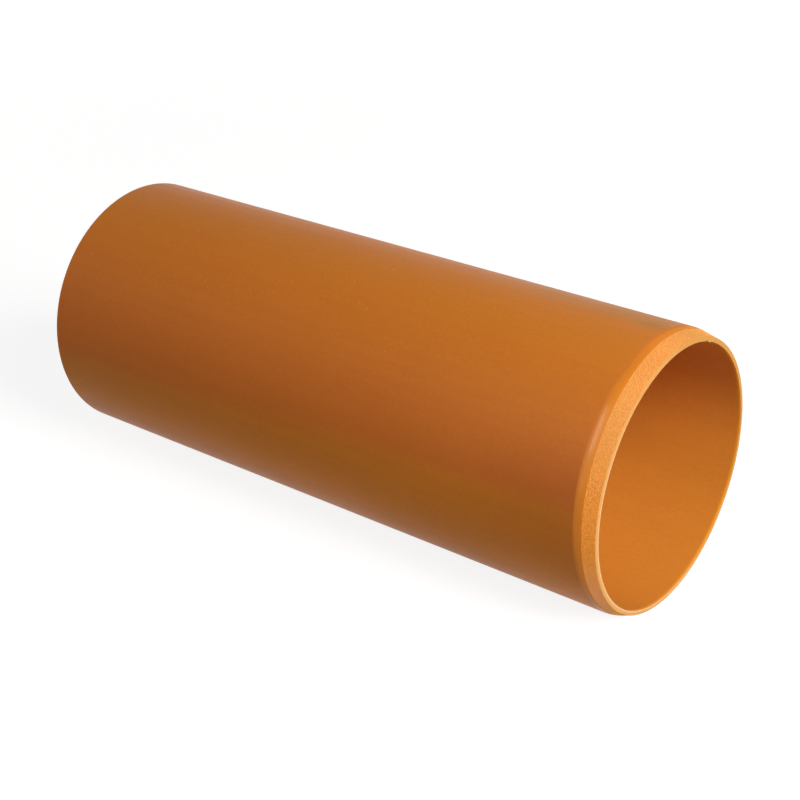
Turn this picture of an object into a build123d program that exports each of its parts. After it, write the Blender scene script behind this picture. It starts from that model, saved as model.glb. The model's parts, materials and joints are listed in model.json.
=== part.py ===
"""Plain-ended drain pipe in orange-brown PVC-U, lying on its side.

The pipe is one extruded tube. One end is sawn square. The other end is the spigot that pushes into
a socket, so it is planed to a long shallow chamfer with a rounded shoulder.
The pipe runs along X with the spigot at +X, and it rests on Z = 0 under the middle of its length.
"""

import os
from math import isclose, radians, tan

from build123d import *

# Driving dimensions, in millimetres and degrees
outside_diameter = 110.0
wall_thickness = 3.7
pipe_length = 273.0
chamfer_length = 8.2  # along the pipe, from the shoulder to the spigot's end face
chamfer_angle = 11.0  # between the chamfer and the pipe's outside
shoulder_radius = 10.0  # rounding where the chamfer meets the outside
bore_edge_break = 0.2  # scraped off the bore's edge at the spigot
sawn_edge_break = 0.2  # scraped off every other cut edge

# Sizes that follow from them
outside_radius = outside_diameter / 2
bore_radius = outside_radius - wall_thickness
chamfer_depth = chamfer_length * tan(radians(chamfer_angle))
sawn_end = -pipe_length / 2
spigot_end = pipe_length / 2
shoulder = spigot_end - chamfer_length


def round_edge(pipe, at, radius):
    """The edge of the given radius that runs round the pipe at one place along X."""
    for edge in pipe.edges().filter_by(GeomType.CIRCLE):
        if isclose(edge.center().X, at, abs_tol=1e-6) and isclose(edge.radius, radius, abs_tol=1e-6):
            return edge
    raise ValueError(f"no edge of radius {radius} at {at}")


def extruded_tube():
    """The tube as it leaves the die and the saw: a ring drawn out along X, with square ends."""
    saw_cut = Plane(origin=(sawn_end, 0, outside_radius), x_dir=(0, 1, 0), z_dir=(1, 0, 0))
    ring = Circle(outside_radius) - Circle(bore_radius)
    return extrude(saw_cut * ring, pipe_length)


def plane_spigot(pipe):
    """The chamfer planed on the spigot, and the shoulder rounded off behind it."""
    outside = pipe.faces().filter_by(GeomType.CYLINDER).sort_by(SortBy.AREA)[-1]
    rim = round_edge(pipe, spigot_end, outside_radius)
    pipe = chamfer(rim, length=chamfer_length, length2=chamfer_depth, reference=outside)
    return fillet(round_edge(pipe, shoulder, outside_radius), shoulder_radius)


def break_edges(pipe):
    """The burr scraped off the edges of both end faces."""
    pipe = chamfer(round_edge(pipe, spigot_end, bore_radius), bore_edge_break)
    pipe = chamfer(round_edge(pipe, spigot_end, outside_radius - chamfer_depth), sawn_edge_break)
    pipe = chamfer(round_edge(pipe, sawn_end, bore_radius), sawn_edge_break)
    return chamfer(round_edge(pipe, sawn_end, outside_radius), sawn_edge_break)


drain_pipe = break_edges(plane_spigot(extruded_tube()))

os.makedirs("parts", exist_ok=True)
export_step(drain_pipe, "parts/drain_pipe.step")
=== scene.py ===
import json
from math import atan2, cos, degrees, pi, radians, sin

import bmesh
import bpy
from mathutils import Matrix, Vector


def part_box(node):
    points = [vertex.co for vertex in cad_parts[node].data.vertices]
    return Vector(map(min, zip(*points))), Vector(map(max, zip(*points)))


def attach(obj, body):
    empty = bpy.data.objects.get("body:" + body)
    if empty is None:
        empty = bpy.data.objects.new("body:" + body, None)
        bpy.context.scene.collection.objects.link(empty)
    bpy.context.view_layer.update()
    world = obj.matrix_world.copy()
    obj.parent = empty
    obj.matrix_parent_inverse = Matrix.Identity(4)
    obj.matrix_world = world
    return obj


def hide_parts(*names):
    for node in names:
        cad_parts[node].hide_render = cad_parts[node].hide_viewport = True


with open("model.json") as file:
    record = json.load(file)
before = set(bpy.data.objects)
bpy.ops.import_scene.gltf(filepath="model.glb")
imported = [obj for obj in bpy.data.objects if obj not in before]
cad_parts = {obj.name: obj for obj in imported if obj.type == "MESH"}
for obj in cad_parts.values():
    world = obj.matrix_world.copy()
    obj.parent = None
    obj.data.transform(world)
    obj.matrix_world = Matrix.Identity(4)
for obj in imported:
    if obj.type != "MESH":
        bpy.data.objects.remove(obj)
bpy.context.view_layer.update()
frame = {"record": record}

# The pipe is one extrusion of orange-brown PVC, with thin solid skins inside and outside a foamed core.
# It is sawn square to length. Its spigot end is planed to a chamfer, through the outer skin into the foam.
# The plane was held a little askew, so the chamfer is longest above and in front.

mounts = {mount["name"]: mount for mount in frame["record"]["mounts"]}
outside_radius = mounts["spigot"]["dims"]["r_mm"] / 1000
bore_radius = mounts["bore"]["dims"]["r_mm"] / 1000
axis = Vector((0, 0, mounts["bore"]["pos_m"][2]))
pipe_low, pipe_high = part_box("drain_pipe")
sawn_end = pipe_low.x
spigot_end = pipe_high.x

planed_length = 0.0069
longer_in_front = 0.0009
longer_above = 0.0022
rim_radius = 0.05315
rim_centre = axis + Vector((0, -0.00035, 0.0002))
shoulder_rounding = 0.0007
rim_edge_break = 0.0001
bore_edge_break = 0.0001
sawn_edge_break = 0.0002
outer_skin = 0.0005
inner_skin = 0.0008

sides = 1200
shoulder_steps = 8
chamfer_rows = 34
end_face_rows = 10

bpy.ops.object.select_all(action="DESELECT")
bpy.ops.mesh.primitive_circle_add(
    vertices=sides,
    radius=outside_radius - sawn_edge_break,
    location=(sawn_end, 0, axis.z),
    rotation=(0, pi / 2, 0),
)
pipe = bpy.context.object
pipe.name = "extruded_pipe"
bpy.ops.object.transform_apply(location=True, rotation=True, scale=True)
bpy.ops.object.mode_set(mode="EDIT")
bpy.ops.mesh.select_all(action="SELECT")


def pick(kind, test):
    """Select only the corners, edges or faces of the pipe that pass a test."""
    bpy.ops.mesh.select_all(action="DESELECT")
    bpy.ops.mesh.select_mode(type=kind)
    form = bmesh.from_edit_mesh(pipe.data)
    parts = {"VERT": form.verts, "EDGE": form.edges, "FACE": form.faces}[kind]
    for part in parts:
        if test(part):
            part.select_set(True)
    form.select_flush_mode()
    bmesh.update_edit_mesh(pipe.data)


def draw_ring(start, end):
    """Extrude the selected ring from one place to the next, each given by X, radius and centre."""
    along, radius, centre = end
    middle = Vector((along, centre.y, centre.z))
    step = middle - Vector((start[0], start[2].y, start[2].z))
    grow = radius / start[1]
    bpy.ops.mesh.extrude_region_move(TRANSFORM_OT_translate={"value": step})
    bpy.ops.transform.resize(value=(1, grow, grow), center_override=middle)
    return end


def draw_face(start, end, rows):
    """Extrude the selected ring across a flat end face, in equal rows."""
    ring = start
    for row in range(1, rows + 1):
        share = row / rows
        radius = start[1] + (end[1] - start[1]) * share
        ring = draw_ring(ring, (end[0], radius, start[2].lerp(end[2], share)))
    return ring


# The outside, from the broken edge of the sawn end to the spigot's end.
rim_at = spigot_end - rim_edge_break
sawn_rim = (sawn_end, outside_radius - sawn_edge_break, axis)
ring = draw_ring(sawn_rim, (sawn_end + sawn_edge_break, outside_radius, axis))
draw_ring(ring, (rim_at, outside_radius, axis))

# The chamfer: a leaning cut marks where the plane starts, and the end is drawn in behind it.
shoulder = Vector((spigot_end - planed_length, 0, axis.z))
shoulder_lean = Vector((0, -longer_in_front, longer_above)) / outside_radius
shoulder_normal = (Vector((1, 0, 0)) + shoulder_lean).normalized()
bpy.ops.mesh.select_all(action="SELECT")
bpy.ops.mesh.bisect(plane_co=shoulder, plane_no=shoulder_normal)

tolerance = 1e-5
pick("VERT", lambda corner: corner.co.x > rim_at - tolerance)
bpy.ops.transform.translate(value=rim_centre - axis)
shrink = rim_radius / outside_radius
rim_middle = Vector((rim_at, rim_centre.y, rim_centre.z))
bpy.ops.transform.resize(value=(1, shrink, shrink), center_override=rim_middle)

pick("VERT", lambda corner: abs((corner.co - shoulder).dot(shoulder_normal)) < tolerance)
bpy.ops.mesh.bevel(offset=shoulder_rounding, segments=shoulder_steps, profile=0.5, affect="EDGES")
pick(
    "EDGE",
    lambda edge: max(corner.co.x for corner in edge.verts) > rim_at - tolerance
    and min(corner.co.x for corner in edge.verts) < rim_at - tolerance,
)
bpy.ops.mesh.subdivide_edgering(number_cuts=chamfer_rows, interpolation="LINEAR", smoothness=0)

# The end face, the bore and the sawn face, back to the ring that the outside began with.
pick("VERT", lambda corner: corner.co.x > rim_at - tolerance)
ring = (rim_at, rim_radius, rim_centre)
ring = draw_ring(ring, (spigot_end, rim_radius - rim_edge_break, rim_centre))
ring = draw_face(ring, (spigot_end, bore_radius + bore_edge_break, axis), end_face_rows)
ring = draw_ring(ring, (spigot_end - bore_edge_break, bore_radius, axis))
ring = draw_ring(ring, (sawn_end + sawn_edge_break, bore_radius, axis))
ring = draw_ring(ring, (sawn_end, bore_radius + sawn_edge_break, axis))
draw_face(ring, sawn_rim, end_face_rows)
bpy.ops.mesh.select_all(action="SELECT")
bpy.ops.mesh.remove_doubles(threshold=tolerance)
bpy.ops.mesh.normals_make_consistent(inside=False)


def angle_up(place):
    """The angle of a place round the pipe, in degrees, from the front upwards."""
    return degrees(atan2(place.z - axis.z, -place.y))


# A nick and the burr beside it, where the scraper caught the top of the bore's edge. Each is given by
# its angle, half its width in degrees, and how far it moves the edge outwards.
nick = (109.4, 1.4, 0.00012)
burr = (112.2, 0.9, -0.0003)
for middle_angle, half_width, outward in (nick, burr):
    pick(
        "VERT",
        lambda corner: corner.co.x > spigot_end - bore_edge_break - tolerance
        and (corner.co - axis).yz.length < bore_radius + bore_edge_break + tolerance
        and abs(angle_up(corner.co) - middle_angle) < half_width,
    )
    turned = radians(middle_angle)
    bpy.ops.transform.translate(value=Vector((0, -cos(turned), sin(turned))) * outward)

sharp_angle = radians(20)
bpy.ops.mesh.select_all(action="DESELECT")
bpy.ops.mesh.edges_select_sharp(sharpness=sharp_angle)
bpy.ops.mesh.mark_sharp()


def faces_bore(face):
    """Whether a face looks towards the pipe's axis."""
    return face.normal.yz.dot((face.calc_center_median() - axis).yz) < 0


# The outside keeps the first finish, and the bore, the chamfer, the rim and the sawn end get their own.
# They are told apart by how far a face's normal leans along the pipe.
level = 0.005
steep = 0.5
finishes = {
    "extruded_skin": lambda face: True,
    "bore_skin": lambda face: abs(face.normal.x) < level and faces_bore(face),
    "planed_wall": lambda face: level < face.normal.x < steep,
    "trimmed_rim": lambda face: face.normal.x > steep,
    "sawn_wall": lambda face: face.normal.x < -level,
}
finish_of = {}
for name, belongs in finishes.items():
    bpy.ops.object.material_slot_add()
    finish_of[name] = bpy.data.materials.new(name)
    pipe.material_slots[-1].material = finish_of[name]
    pick("FACE", belongs)
    pipe.active_material_index = len(pipe.material_slots) - 1
    bpy.ops.object.material_slot_assign()


def is_cut_foam(corner):
    """Whether a corner lies on cut foam, between the two skins."""
    from_axis = (corner.co - axis).yz.length
    return bore_radius + inner_skin < from_axis < outside_radius - outer_skin


# The foam stands open where it is cut, so the corners there are set in and out, cell by cell.
cell_size = 0.0004
cell_relief = 0.0001
cell_contrast = 1.6
sunk_share = 0.6
pick("VERT", is_cut_foam)
bpy.ops.object.vertex_group_assign_new()
bpy.ops.object.mode_set(mode="OBJECT")
cell_texture = bpy.data.textures.new("foam_cells", type="CLOUDS")
cell_texture.noise_scale = cell_size
cell_texture.noise_depth = 2
cell_texture.contrast = cell_contrast
bpy.ops.object.modifier_add(type="DISPLACE")
open_cells = pipe.modifiers[-1]
open_cells.texture = cell_texture
open_cells.texture_coords = "LOCAL"
open_cells.vertex_group = pipe.vertex_groups[-1].name
open_cells.mid_level = sunk_share
open_cells.strength = cell_relief
bpy.ops.object.modifier_apply(modifier=open_cells.name)
bpy.ops.object.shade_smooth()


def feed(tree, socket, source):
    """Link a socket to an input, or set the input to a plain value."""
    if isinstance(source, bpy.types.NodeSocket):
        tree.links.new(source, socket)
    else:
        socket.default_value = source


def node(tree, kind, settings=None, **sources):
    """Add a shader node, with its settings and what feeds its inputs."""
    made = tree.nodes.new(kind)
    for name, value in (settings or {}).items():
        setattr(made, name, value)
    for name, source in sources.items():
        feed(tree, made.inputs[name.replace("_", " ")], source)
    return made


def maths(tree, operation, *sources):
    """The result of a Math node."""
    made = node(tree, "ShaderNodeMath", {"operation": operation})
    for socket, source in zip(made.inputs, sources):
        feed(tree, socket, source)
    return made.outputs[0]


def vector(tree, operation, *sources):
    """The result of a Vector Math node, which is a number for a length or a dot product."""
    made = node(tree, "ShaderNodeVectorMath", {"operation": operation})
    for socket, source in zip(made.inputs, sources):
        feed(tree, socket, source)
    return made.outputs["Value" if operation in ("LENGTH", "DOT_PRODUCT") else "Vector"]


def ramp(tree, value, span, results=(0.0, 1.0)):
    """A smooth step from one result to the other, as a value goes over a span."""
    made = node(
        tree,
        "ShaderNodeMapRange",
        {"interpolation_type": "SMOOTHSTEP"},
        Value=value,
        From_Min=span[0],
        From_Max=span[1],
        To_Min=results[0],
        To_Max=results[1],
    )
    return made.outputs["Result"]


def where_all(tree, mask, *others):
    """A mask that is one only where all the given masks are."""
    for other in others:
        mask = maths(tree, "MULTIPLY", mask, other)
    return mask


def tint(tree, factor, first, second, blend="MIX"):
    """A colour blended from two by a factor, on the colour sockets of a Mix node."""
    made = node(tree, "ShaderNodeMix", {"data_type": "RGBA", "blend_type": blend})
    for socket, source in zip((made.inputs[0], made.inputs[6], made.inputs[7]), (factor, first, second)):
        feed(tree, socket, source)
    return made.outputs[2]


def shade(tree, colour, *shades):
    """A colour multiplied by each of some shades, as far as the mask that stands before it says."""
    for mask, share in shades:
        colour = tint(tree, mask, colour, share, "MULTIPLY")
    return colour


def own_place(tree):
    """A place in the object's own coordinates."""
    return node(tree, "ShaderNodeTexCoord").outputs["Object"]


def spot(tree):
    """How far along and how far back a spot on the pipe lies, and its height over the axis."""
    parts = node(tree, "ShaderNodeSeparateXYZ", Vector=own_place(tree))
    rise = maths(tree, "SUBTRACT", parts.outputs["Z"], axis.z)
    return parts.outputs["X"], parts.outputs["Y"], rise


def noise(tree, cells, detail=2.0, shift=(0, 0, 0)):
    """Noise on the pipe's own coordinates, with so many cells per metre along each axis."""
    scaled = node(tree, "ShaderNodeMapping", Vector=own_place(tree), Scale=cells, Location=shift)
    made = node(tree, "ShaderNodeTexNoise", Vector=scaled.outputs[0], Scale=1.0, Detail=detail)
    return made.outputs[0]


def new_group(name, inputs, outputs):
    """A shader node group with number inputs and outputs, and the two ends of its wiring."""
    tree = bpy.data.node_groups.new(name, "ShaderNodeTree")
    for label in inputs:
        tree.interface.new_socket(label, in_out="INPUT", socket_type="NodeSocketFloat")
    for label in outputs:
        tree.interface.new_socket(label, in_out="OUTPUT", socket_type="NodeSocketFloat")
    return tree, tree.nodes.new("NodeGroupInput"), tree.nodes.new("NodeGroupOutput")


def use_group(tree, group, **values):
    """Place a node group in a material, with that material's values."""
    return node(tree, "ShaderNodeGroup", {"node_tree": group}, **values)


def open_finish(material):
    """The node tree of a material, and its Principled BSDF."""
    material.use_nodes = True
    return material.node_tree, material.node_tree.nodes["Principled BSDF"]


def emboss(tree, shader, height, strength, depth):
    """Give a shader a bump from a height, by a strength and a depth in metres."""
    bump = node(tree, "ShaderNodeBump", Strength=strength, Distance=depth, Height=height)
    feed(tree, shader.inputs["Normal"], bump.outputs["Normal"])


# Wall layers: how deep a cut has gone, and so whether it shows skin, the glow below it, or foam.
soft_edge = 0.00004
noise_middle = 0.5
waver_cells = (300, 300, 300)
planed_depths = (outer_skin * 0.05, outer_skin * 0.3)
glow_depths = (outer_skin * 0.35, outer_skin * 0.9)
outer_depths = (outer_skin - soft_edge, outer_skin + soft_edge)
inner_depths = (inner_skin - soft_edge, inner_skin + soft_edge)
layers, layers_in, layers_out = new_group("wall_layers", ["Waver"], ["Planed", "Glow", "Foam", "Inner"])
offset = vector(layers, "SUBTRACT", own_place(layers), axis)
from_axis = vector(layers, "LENGTH", vector(layers, "MULTIPLY", offset, (0, 1, 1)))
waver = maths(layers, "SUBTRACT", noise(layers, waver_cells, detail=3.0), noise_middle)
waver = maths(layers, "MULTIPLY", waver, layers_in.outputs["Waver"])
depth = maths(layers, "ADD", maths(layers, "SUBTRACT", outside_radius, from_axis), waver)
cover = maths(layers, "ADD", maths(layers, "SUBTRACT", from_axis, bore_radius), waver)
over_inner = ramp(layers, cover, inner_depths)
between_skins = where_all(layers, ramp(layers, depth, outer_depths), over_inner)
feed(layers, layers_out.inputs["Planed"], ramp(layers, depth, planed_depths))
feed(layers, layers_out.inputs["Glow"], ramp(layers, depth, glow_depths))
feed(layers, layers_out.inputs["Foam"], between_skins)
feed(layers, layers_out.inputs["Inner"], maths(layers, "SUBTRACT", 1.0, over_inner))

# Foam grain: the cut cells of the core, as pale ribs with brown pores between them.
coarse_share = 0.6
pore_span = (0.38, 0.58)
rib_span = (0.40, 0.62)
grain, grain_in, grain_out = new_group("foam_grain", ["Coarse Cells", "Fine Cells"], ["Pores", "Ribs"])
coarse = noise(grain, grain_in.outputs["Coarse Cells"])
fine = noise(grain, grain_in.outputs["Fine Cells"], shift=(3.1, 1.7, 5.3))
coarse = maths(grain, "MULTIPLY", coarse, coarse_share)
fine = maths(grain, "MULTIPLY", fine, 1 - coarse_share)
mixed = maths(grain, "ADD", coarse, fine)
feed(grain, grain_out.inputs["Pores"], ramp(grain, mixed, pore_span, (1.0, 0.0)))
feed(grain, grain_out.inputs["Ribs"], ramp(grain, mixed, rib_span))

# Skin marks: the faint streaks that the die draws along the pipe, patches, mottling and a little dust.
streak_cells = (2.5, 260, 260)
patch_cells = (22, 22, 22)
mottling_cells = (600, 800, 800)
broad_share = 0.25
mottling_share = 0.5
shade_span = (0.38, 0.62)
speck_cells = 230.0
speck_edge = (0.5, 1.0)
speck_lots = (0.6, 0.95)
marks, marks_in, marks_out = new_group("skin_marks", ["Speck Size"], ["Shade", "Dust"])
streaks = noise(marks, streak_cells, detail=4.0)
patches = noise(marks, patch_cells, detail=3.0, shift=(0.4, 2.3, 1.1))
mottling = noise(marks, mottling_cells, shift=(1.9, 0.7, 4.1))
broad = maths(marks, "MULTIPLY", maths(marks, "ADD", streaks, patches), broad_share)
mottling = maths(marks, "MULTIPLY", mottling, mottling_share)
feed(marks, marks_out.inputs["Shade"], ramp(marks, maths(marks, "ADD", broad, mottling), shade_span))
specks = node(marks, "ShaderNodeTexVoronoi", Vector=own_place(marks), Scale=speck_cells)
near = maths(marks, "DIVIDE", specks.outputs["Distance"], marks_in.outputs["Speck Size"])
lot = node(marks, "ShaderNodeSeparateColor", Color=specks.outputs["Color"]).outputs["Red"]
dust = where_all(marks, ramp(marks, near, speck_edge, (1.0, 0.0)), ramp(marks, lot, speck_lots))
feed(marks, marks_out.inputs["Dust"], dust)

dust_colour = (0.72, 0.35, 0.125, 1)
speck_size = 0.07
skin_roughness = (0.42, 0.37)
skin_gloss = 0.06
skin_bump = (0.1, 0.00005)


def skin_finish(material, colour, streak_colour):
    """A satin skin with its marks, outside or in the bore, as its tree, its shader and its colour."""
    tree, shader = open_finish(material)
    worn = use_group(tree, marks, Speck_Size=speck_size)
    tone = tint(tree, worn.outputs["Shade"], streak_colour, colour)
    tone = tint(tree, worn.outputs["Dust"], tone, dust_colour)
    feed(tree, shader.inputs["Roughness"], ramp(tree, worn.outputs["Shade"], (0.0, 1.0), skin_roughness))
    shader.inputs["Specular IOR Level"].default_value = skin_gloss
    height = maths(tree, "ADD", worn.outputs["Shade"], worn.outputs["Dust"])
    emboss(tree, shader, height, *skin_bump)
    return tree, shader, tone


oval_edge = (1.0, 0.1)


def oval(tree, middle, half_length, half_width):
    """A soft oval along the pipe, seen from above: one in its middle and zero at its edge."""
    offset = vector(tree, "SUBTRACT", own_place(tree), middle)
    scaled = vector(tree, "MULTIPLY", offset, (1 / half_length, 1 / half_width, 0))
    return ramp(tree, vector(tree, "LENGTH", scaled), oval_edge)


# The outer skin is the deeper orange. Painted shade makes it redder in a broad band along the front that
# winds a little round the pipe. Painted light makes it yellower on top and paler below towards the sawn
# end.
# By the spigot a painted shade darkens its front and its top, and one greyer spot is a painted reflection.
skin_colour = (0.594, 0.1745, 0.0215, 1)
skin_streak_colour = (0.562, 0.1645, 0.0195, 1)
# Painted shade: redder along the front. Painted light: yellower on top, and paler below towards the sawn
# end.
painted_shade_redder = (0.98, 0.85, 1.18, 1)
painted_light_yellower = (1.0, 1.06, 1.0, 1)
painted_bounce_paler = (1.16, 1.17, 1.0, 1)
# Painted shade: the top by the spigot is darkened, and the front by the spigot is deeper in colour.
painted_top_shade = (0.82, 0.97, 0.85, 1)
# Painted reflection: a small greyer spot on top, just behind the chamfer.
painted_reflection_grey = (0.86, 0.93, 1.0, 1)
painted_front_shade = (0.88, 0.85, 1.05, 1)
sway_cells = (2.5, 160, 160)
band_sway = 0.01
band_twist = 0.054
band_foot_rise = (-0.004, 0.007)
band_head_rise = (0.053, 0.01)
band_back = (0.0, -0.03)
top_rise = (0.044, 0.055)
paler_rise = (-0.006, -0.026)
paler_along = (0.09, -0.02)
painted_top_shade_oval = ((0.125, 0.015, 0), 0.12, 0.02)
painted_reflection_oval = ((0.1205, 0.005, 0), 0.011, 0.0045)
painted_front_shade_oval = ((0.14, -0.056, 0), 0.08, 0.011)
skin_tree, skin, colour = skin_finish(finish_of["extruded_skin"], skin_colour, skin_streak_colour)
along, back, rise = spot(skin_tree)
sway = maths(skin_tree, "SUBTRACT", noise(skin_tree, sway_cells, detail=3.0), noise_middle)
rise = maths(skin_tree, "ADD", rise, maths(skin_tree, "MULTIPLY", sway, band_sway))
twisted = maths(skin_tree, "SUBTRACT", rise, maths(skin_tree, "MULTIPLY", along, band_twist))
over_foot = ramp(skin_tree, twisted, band_foot_rise)
under_head = ramp(skin_tree, rise, band_head_rise)
band = where_all(skin_tree, over_foot, under_head, ramp(skin_tree, back, band_back))
on_top = ramp(skin_tree, rise, top_rise)
below = where_all(skin_tree, ramp(skin_tree, rise, paler_rise), ramp(skin_tree, along, paler_along))
# Masks of the painted shade on top and in front by the spigot, and of the painted reflection.
painted_top_shade_mask = where_all(skin_tree, on_top, oval(skin_tree, *painted_top_shade_oval))
painted_reflection_spot = where_all(skin_tree, on_top, oval(skin_tree, *painted_reflection_oval))
painted_front_shade_mask = oval(skin_tree, *painted_front_shade_oval)
# Painted shade and painted light shift the skin's colour by these masks.
colour = shade(skin_tree, colour, (band, painted_shade_redder), (on_top, painted_light_yellower), (below, painted_bounce_paler))
colour = shade(skin_tree, colour, (painted_top_shade_mask, painted_top_shade), (painted_reflection_spot, painted_reflection_grey), (painted_front_shade_mask, painted_front_shade))
feed(skin_tree, skin.inputs["Base Color"], colour)

# The bore is a little paler than the outside. Painted light makes it paler still half way up behind,
# and painted shade makes it redder above. The light that comes through the wall along its edge is painted
# in.
bore_colour = (0.60, 0.206, 0.028, 1)
bore_streak_colour = (0.57, 0.194, 0.026, 1)
# Painted shade: the bore is redder above.
painted_shade_redder_above = (0.97, 0.80, 1.8, 1)
# Painted light: the bore is paler half way up behind.
painted_light_behind = (1.12, 1.10, 1.25, 1)
# Painted light: the light through the wall, as a brighter orange along the bore's edge.
painted_edge_glow_colour = (0.86, 0.33, 0.022, 1)
painted_shade_rise = (-0.005, 0.04)
half_way_rise = (0.024, 0.004)
half_way_back = (0.02, 0.045)
painted_edge_glow_along = (spigot_end - 0.0016, spigot_end)
bore_tree, bore, colour = skin_finish(finish_of["bore_skin"], bore_colour, bore_streak_colour)
along, back, rise = spot(bore_tree)
above = ramp(bore_tree, rise, painted_shade_rise)
half_way = ramp(bore_tree, maths(bore_tree, "ABSOLUTE", rise), half_way_rise)
behind = where_all(bore_tree, half_way, ramp(bore_tree, back, half_way_back))
colour = shade(bore_tree, colour, (above, painted_shade_redder_above), (behind, painted_light_behind))
painted_edge_glow_mask = ramp(bore_tree, along, painted_edge_glow_along)
feed(bore_tree, bore.inputs["Base Color"], tint(bore_tree, painted_edge_glow_mask, colour, painted_edge_glow_colour))

# The chamfer: burnished where the plane left skin, glowing where that is thin, and grainy in the foam.
# The cut is longer upwards, and each is paler upwards by painted light, in lit and shaded copies of its
# colours. Painted shade deepens its colour at the crest, and more past it, where it is also duller.
# Below, the foam is smeared smooth.
# The second colour of each pair is a lit copy of the first, used upwards: painted light.
planed_skin_colour = (0.54, 0.180, 0.018, 1)
painted_lit_planed_skin_colour = (0.60, 0.208, 0.02, 1)
glow_colour = (0.615, 0.174, 0.012, 1)
painted_lit_glow_colour = (0.67, 0.212, 0.014, 1)
foam_colour = (0.94, 0.360, 0.06, 1)
painted_lit_foam_colour = (0.86, 0.385, 0.098, 1)
pore_colour = (0.76, 0.254, 0.034, 1)
painted_lit_pore_colour = (0.74, 0.300, 0.064, 1)
smeared_colour = (0.93, 0.395, 0.185, 1)
# Painted shade at the crest of the chamfer, and more past it.
painted_crest_shade = (0.91, 0.85, 0.83, 1)
painted_past_crest_shade = (0.80, 0.84, 0.85, 1)
painted_lit_rise = (0.0, 0.04)
smeared_rise = (-0.005, -0.035)
crest_rise = (0.044, 0.053)
past_crest_back = (-0.012, 0.012)
duller_back = (-0.02, 0.005)
planed_roughness = (0.38, 0.16)
glow_roughness = 0.3
foam_roughness = 0.7
duller_roughness = 0.4
planed_gloss = 0.1
foam_bump = (0.8, 0.00012)
cut_waver = 0.00006
coarse_cells = 1900
fine_cells = 4200
planed_tree, planed = open_finish(finish_of["planed_wall"])
wall = use_group(planed_tree, layers, Waver=cut_waver).outputs
cells = use_group(planed_tree, grain, Coarse_Cells=coarse_cells, Fine_Cells=fine_cells).outputs
_, back, rise = spot(planed_tree)
# The mask of the painted light, upwards.
above = ramp(planed_tree, rise, painted_lit_rise)
foam = tint(planed_tree, above, foam_colour, painted_lit_foam_colour)
pore = tint(planed_tree, above, pore_colour, painted_lit_pore_colour)
foam = tint(planed_tree, cells["Pores"], foam, pore)
foam = tint(planed_tree, ramp(planed_tree, rise, smeared_rise), foam, smeared_colour)
burnished = tint(planed_tree, above, planed_skin_colour, painted_lit_planed_skin_colour)
glow = tint(planed_tree, above, glow_colour, painted_lit_glow_colour)
colour = tint(planed_tree, wall["Planed"], skin_colour, burnished)
colour = tint(planed_tree, wall["Glow"], colour, glow)
colour = tint(planed_tree, wall["Foam"], colour, foam)
crest = ramp(planed_tree, rise, crest_rise)
past_crest = where_all(planed_tree, crest, ramp(planed_tree, back, past_crest_back))
colour = shade(planed_tree, colour, (crest, painted_crest_shade), (past_crest, painted_past_crest_shade))
feed(planed_tree, planed.inputs["Base Color"], colour)
roughness = ramp(planed_tree, wall["Planed"], (0.0, 1.0), planed_roughness)
thin = maths(planed_tree, "MULTIPLY", wall["Glow"], glow_roughness)
open_foam = maths(planed_tree, "MULTIPLY", wall["Foam"], foam_roughness)
duller = ramp(planed_tree, back, duller_back, (0.0, duller_roughness))
added = maths(planed_tree, "MAXIMUM", maths(planed_tree, "MAXIMUM", thin, open_foam), duller)
feed(planed_tree, planed.inputs["Roughness"], maths(planed_tree, "ADD", roughness, added))
planed.inputs["Specular IOR Level"].default_value = planed_gloss
planed.inputs["Diffuse Roughness"].default_value = 1.0
emboss(planed_tree, planed, where_all(planed_tree, cells["Ribs"], wall["Foam"]), *foam_bump)

# The rim: cut clean across, so the foam is smeared smooth. A painted highlight pales it along the bore's
# edge in front and below, and painted shade deepens its colour above and behind.
rim_colour = (0.53, 0.250, 0.076, 1)
rim_pore_colour = (0.51, 0.232, 0.062, 1)
# Painted shade: the rim is deeper in colour above and behind.
painted_behind_shade = (0.88, 0.86, 0.72, 1)
# Painted highlight: the paler colour along the bore's edge in front and below.
painted_highlight_colour = (0.57, 0.325, 0.17, 1)
front_and_below = (0, -0.82, -0.57)
behind_reach = (-0.01, -0.035)
painted_highlight_reach = (0.0, 0.025)
rim_roughness = (0.55, 0.75)
rim_gloss = 0.12
rim_tree, rim = open_finish(finish_of["trimmed_rim"])
wall = use_group(rim_tree, layers, Waver=cut_waver).outputs
cells = use_group(rim_tree, grain, Coarse_Cells=coarse_cells, Fine_Cells=fine_cells).outputs
offset = vector(rim_tree, "SUBTRACT", own_place(rim_tree), axis)
reach = vector(rim_tree, "DOT_PRODUCT", offset, front_and_below)
colour = tint(rim_tree, cells["Pores"], rim_colour, rim_pore_colour)
colour = shade(rim_tree, colour, (ramp(rim_tree, reach, behind_reach), painted_behind_shade))
painted_highlight = where_all(rim_tree, wall["Inner"], ramp(rim_tree, reach, painted_highlight_reach))
feed(rim_tree, rim.inputs["Base Color"], tint(rim_tree, painted_highlight, colour, painted_highlight_colour))
feed(rim_tree, rim.inputs["Roughness"], ramp(rim_tree, cells["Pores"], (0.0, 1.0), rim_roughness))
rim.inputs["Specular IOR Level"].default_value = rim_gloss

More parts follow.
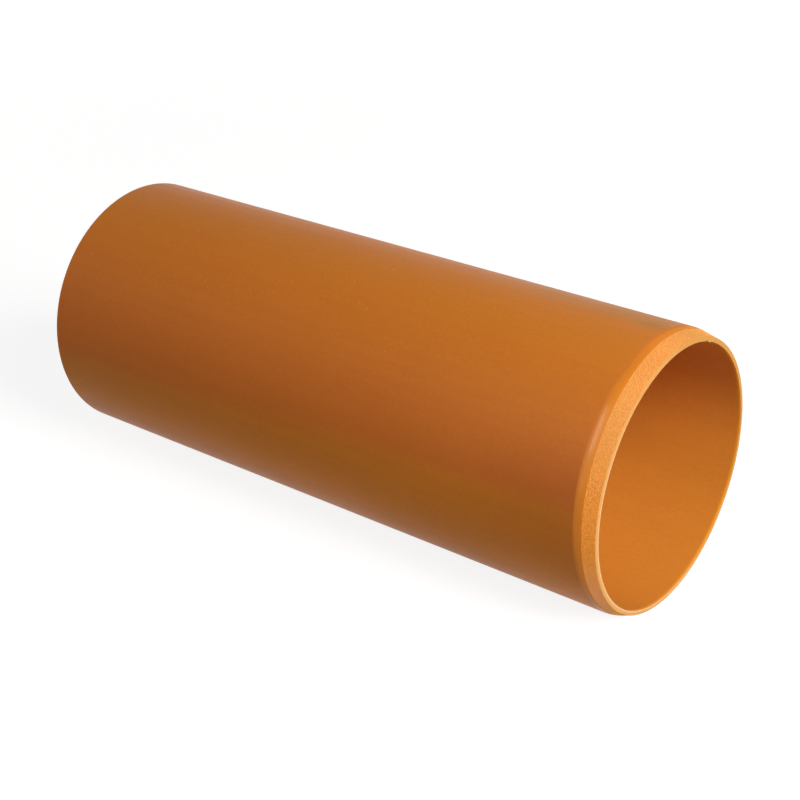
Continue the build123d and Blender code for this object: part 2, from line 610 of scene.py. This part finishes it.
# The sawn end: the same layers, with the saw's straight scratches across them.
scratch_cells = (400, 30, 2200)
scratch_span = (0.3, 0.7)
sawn_roughness = (0.6, 0.85)
sawn_gloss = 0.3
rib_share = 0.5
sawn_bump = (0.6, 0.0001)
sawn_tree, sawn = open_finish(finish_of["sawn_wall"])
wall = use_group(sawn_tree, layers, Waver=cut_waver).outputs
cells = use_group(sawn_tree, grain, Coarse_Cells=coarse_cells, Fine_Cells=fine_cells).outputs
scratches = noise(sawn_tree, scratch_cells)
foam = tint(sawn_tree, cells["Pores"], foam_colour, pore_colour)
feed(sawn_tree, sawn.inputs["Base Color"], tint(sawn_tree, wall["Foam"], planed_skin_colour, foam))
feed(sawn_tree, sawn.inputs["Roughness"], ramp(sawn_tree, scratches, scratch_span, sawn_roughness))
sawn.inputs["Specular IOR Level"].default_value = sawn_gloss
ribs = maths(sawn_tree, "MULTIPLY", cells["Ribs"], rib_share)
emboss(sawn_tree, sawn, maths(sawn_tree, "ADD", scratches, ribs), *sawn_bump)

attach(pipe, "root")
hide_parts("drain_pipe")

# The floor is a wide sheet of white paper that the pipe lies on. It shows as white in the picture, with
# the pipe's shadow on it, and throws a weaker light back on the pipe.

floor_size = 12.0
bounce_colour = (0.55, 0.60, 0.37, 1)
shadow_share = (0.25, 0.25, 0.25, 1)
paper_glow = (0.88, 1.0)
paper_glow_reach = (0.4, 1.4)
bpy.ops.object.select_all(action="DESELECT")
bpy.ops.mesh.primitive_plane_add(size=floor_size, location=(0, 0, pipe_low.z))
floor = bpy.context.object
floor.name = "paper_floor"
bpy.ops.object.transform_apply(location=True, rotation=True, scale=True)


def seen(tree):
    """One for rays from the camera and for mirror and clear rays, and zero for the rest."""
    path = node(tree, "ShaderNodeLightPath")
    mirrored = maths(tree, "MAXIMUM", path.outputs["Is Glossy Ray"], path.outputs["Is Transmission Ray"])
    return maths(tree, "MAXIMUM", path.outputs["Is Camera Ray"], mirrored)


def choose(tree, factor, first, second, end):
    """Mix two shaders by a factor, and feed the result to an end node."""
    made = node(tree, "ShaderNodeMixShader")
    for socket, source in zip(made.inputs, (factor, first, second)):
        feed(tree, socket, source)
    feed(tree, end.inputs["Surface"], made.outputs[0])


paper = bpy.data.materials.new("white_paper")
paper.use_nodes = True
paper_tree = paper.node_tree
paper_tree.nodes.remove(paper_tree.nodes["Principled BSDF"])
plain = node(paper_tree, "ShaderNodeBsdfDiffuse", Color=bounce_colour)
shaded = node(paper_tree, "ShaderNodeBsdfDiffuse", Color=shadow_share)
from_pipe = vector(paper_tree, "LENGTH", own_place(paper_tree))
brightness = ramp(paper_tree, from_pipe, paper_glow_reach, paper_glow)
glow = node(paper_tree, "ShaderNodeEmission", Strength=brightness)
bright = node(paper_tree, "ShaderNodeAddShader")
feed(paper_tree, bright.inputs[0], shaded.outputs[0])
feed(paper_tree, bright.inputs[1], glow.outputs[0])
paper_end = paper_tree.nodes["Material Output"]
choose(paper_tree, seen(paper_tree), plain.outputs[0], bright.outputs[0], paper_end)
floor.data.materials.append(paper)

# The light is a studio's: a large soft box to the right, two weak ones on the left and behind for the
# sides that it leaves dark, and a tall panel in front, brighter above, which only shows as a glint.

spigot_middle = Vector((spigot_end, 0, axis.z))


def soft_box(name, azimuth, elevation, distance, size, watts, colour):
    """A lamp of a width and a height that looks at the spigot's end from an azimuth and an elevation."""
    turn = radians(azimuth)
    lift = radians(elevation)
    away = Vector((sin(turn) * cos(lift), -cos(turn) * cos(lift), sin(lift)))
    bpy.ops.object.light_add(
        type="AREA",
        location=spigot_middle + away * distance,
        rotation=(pi / 2 - lift, 0, turn),
    )
    lamp = bpy.context.object
    lamp.name = name
    lamp.data.shape = "RECTANGLE"
    lamp.data.size, lamp.data.size_y = size
    lamp.data.energy = watts
    lamp.data.color = colour
    lamp.visible_camera = False
    return lamp


warm_light = (1.0, 0.995, 0.96)
pale_light = (1.0, 0.99, 0.97)
soft_box(
    "right_box", azimuth=78, elevation=34, distance=1.15, size=(0.7, 0.7), watts=23.5, colour=warm_light
)
soft_box(
    "left_box", azimuth=-78, elevation=6, distance=1.1, size=(0.6, 0.6), watts=2.0, colour=pale_light
)
back_box = soft_box(
    "back_box", azimuth=200, elevation=8, distance=1.2, size=(0.7, 0.7), watts=1.5, colour=pale_light
)
back_box.visible_glossy = False
high_panel = soft_box(
    "high_panel", azimuth=-11, elevation=45, distance=1.0, size=(0.26, 0.6), watts=6.3, colour=pale_light
)
high_panel.visible_diffuse = False
low_panel = soft_box(
    "low_panel", azimuth=-11, elevation=14, distance=1.0, size=(0.26, 0.5), watts=1.4, colour=pale_light
)
low_panel.visible_diffuse = False

wall_light = 0.03
wall_white = (1, 1, 1, 1)
world = bpy.data.worlds.new("pale_studio")
world.use_nodes = True
bpy.context.scene.world = world
world_tree = world.node_tree
dim = world_tree.nodes["Background"]
dim.inputs["Color"].default_value = wall_white
dim.inputs["Strength"].default_value = wall_light
white = node(world_tree, "ShaderNodeBackground", Color=wall_white, Strength=1.0)
world_end = world_tree.nodes["World Output"]
choose(world_tree, seen(world_tree), dim.outputs[0], white.outputs[0], world_end)

# The camera looks down on the pipe from the front right and isn't tilted sideways.
# Its place is given by where the middle of the spigot's end lies before it.

view_azimuth = radians(38.1)
view_elevation = radians(25.77)
spigot_right = 0.09997
spigot_below = 0.02836
spigot_away = 0.59896
sensor_width = 36
lens_length = 73.78
bpy.ops.object.camera_add(rotation=(pi / 2 - view_elevation, 0, view_azimuth))
camera = bpy.context.object
view_turn = camera.rotation_euler.to_matrix()
camera.location = spigot_middle - view_turn @ Vector((spigot_right, -spigot_below, -spigot_away))
camera.data.sensor_width = sensor_width
camera.data.lens = lens_length
bpy.context.scene.camera = camera
bpy.context.scene.view_settings.view_transform = "Standard"
